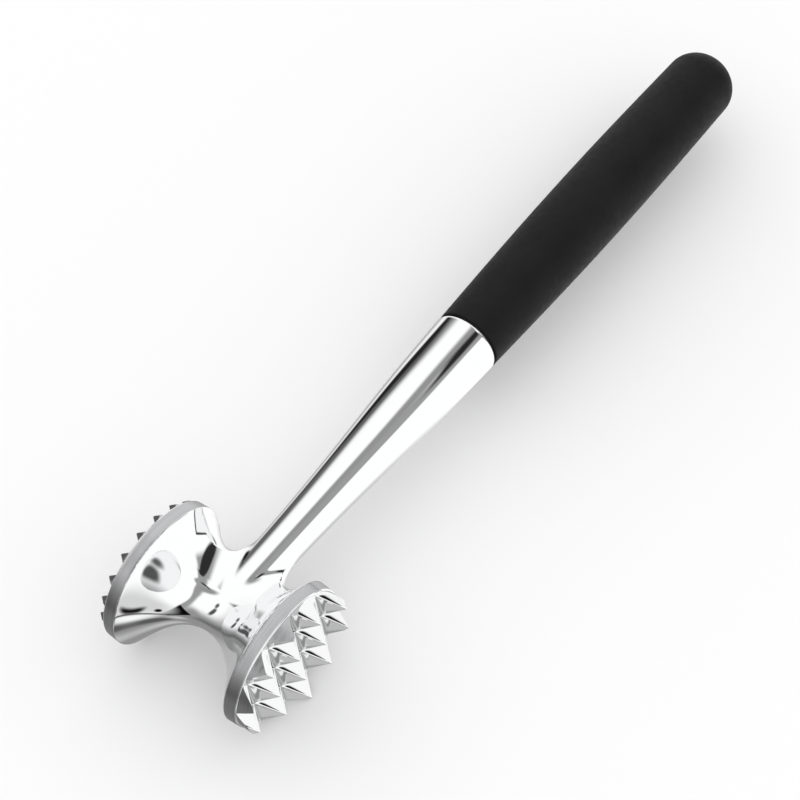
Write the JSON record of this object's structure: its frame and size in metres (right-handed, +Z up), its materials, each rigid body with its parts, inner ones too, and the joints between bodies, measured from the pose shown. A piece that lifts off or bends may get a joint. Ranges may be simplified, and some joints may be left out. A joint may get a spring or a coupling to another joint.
{
  "type": "meat mallet",
  "caption": "Chromed double-faced meat mallet: tall staggered teeth on one disc, short ringed teeth on the other, slim round neck and a black rubber grip with a domed end.",
  "frame": {"origin": "on the surface that the mallet lies on, under the middle of its outline", "axes": "+X along the handle from the head to the grip's end, +Y out of the fine face, -Y out of the coarse face, +Z up"},
  "size_m": [0.2722, 0.054, 0.044],
  "materials": {
    "chromed_zinc": "polished chrome plate on a zinc casting, finely satin on the rims of the discs",
    "core_plastic": "black moulded plastic",
    "grip_rubber": "matte black soft-touch rubber",
    "pin_steel": "plain rolled spring steel"
  },
  "bodies": {
    "root": {"head_casting": "chromed_zinc", "grip_core": "core_plastic", "grip_sleeve": "grip_rubber", "lock_pin": "pin_steel"}
  },
  "joints": []
}
